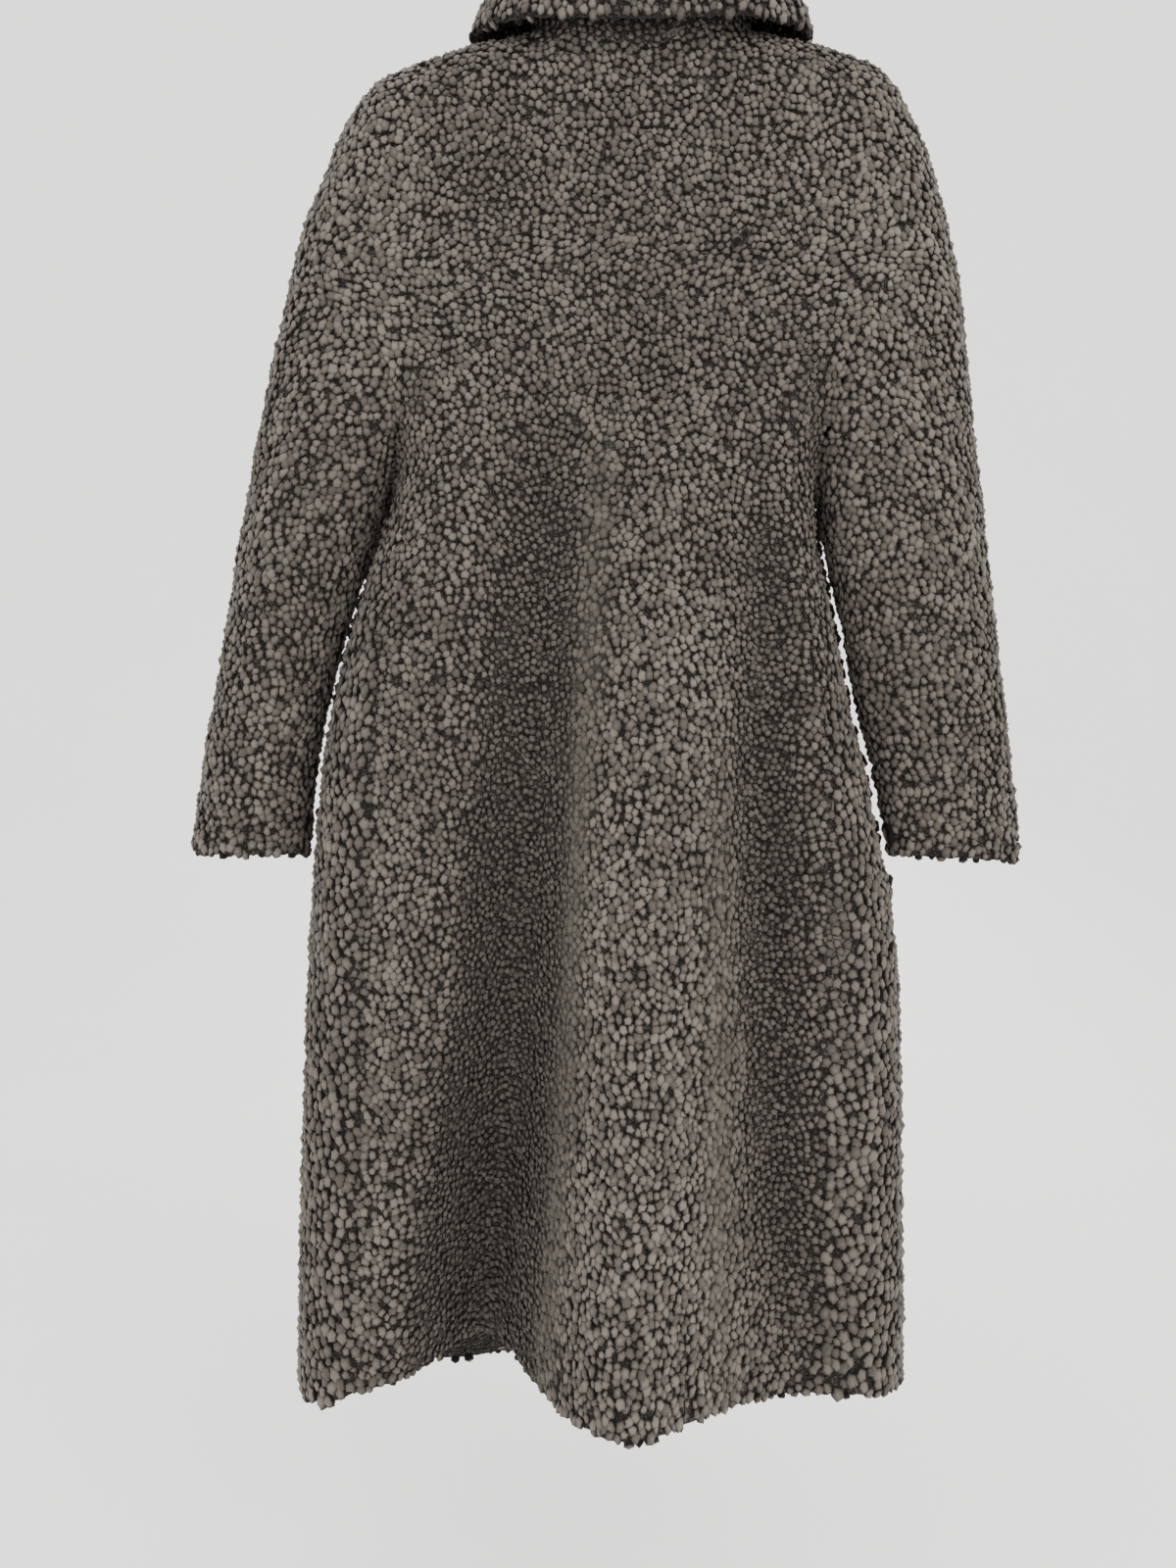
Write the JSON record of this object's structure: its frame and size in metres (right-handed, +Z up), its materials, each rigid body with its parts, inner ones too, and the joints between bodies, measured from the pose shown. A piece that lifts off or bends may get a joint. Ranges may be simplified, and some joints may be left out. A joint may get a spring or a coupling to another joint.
{
  "type": "faux fur coat on a hanger",
  "caption": "Long curly fleece coat with drop shoulders, folded collar and a flared, folded back, hanging from a curved hanger by its hook.",
  "frame": {"origin": "the inner top of the hanger's hook, where a rail carries it", "axes": "+Z up along the coat's length, +X to the right as seen from behind the coat, +Y towards the coat's front, so its back faces -Y"},
  "size_m": [0.754, 0.2545, 1.3421],
  "materials": {
    "curly_fleece": "matt, curly pile",
    "hanger_wood": "satin varnish",
    "hook_steel": "bright drawn wire"
  },
  "bodies": {
    "root": {"back": "curly_fleece", "front_left": "curly_fleece", "front_right": "curly_fleece", "sleeve_left": "curly_fleece", "sleeve_right": "curly_fleece", "collar": "curly_fleece", "hanger_body": "hanger_wood", "hanger_hook": "hook_steel"}
  },
  "joints": []
}
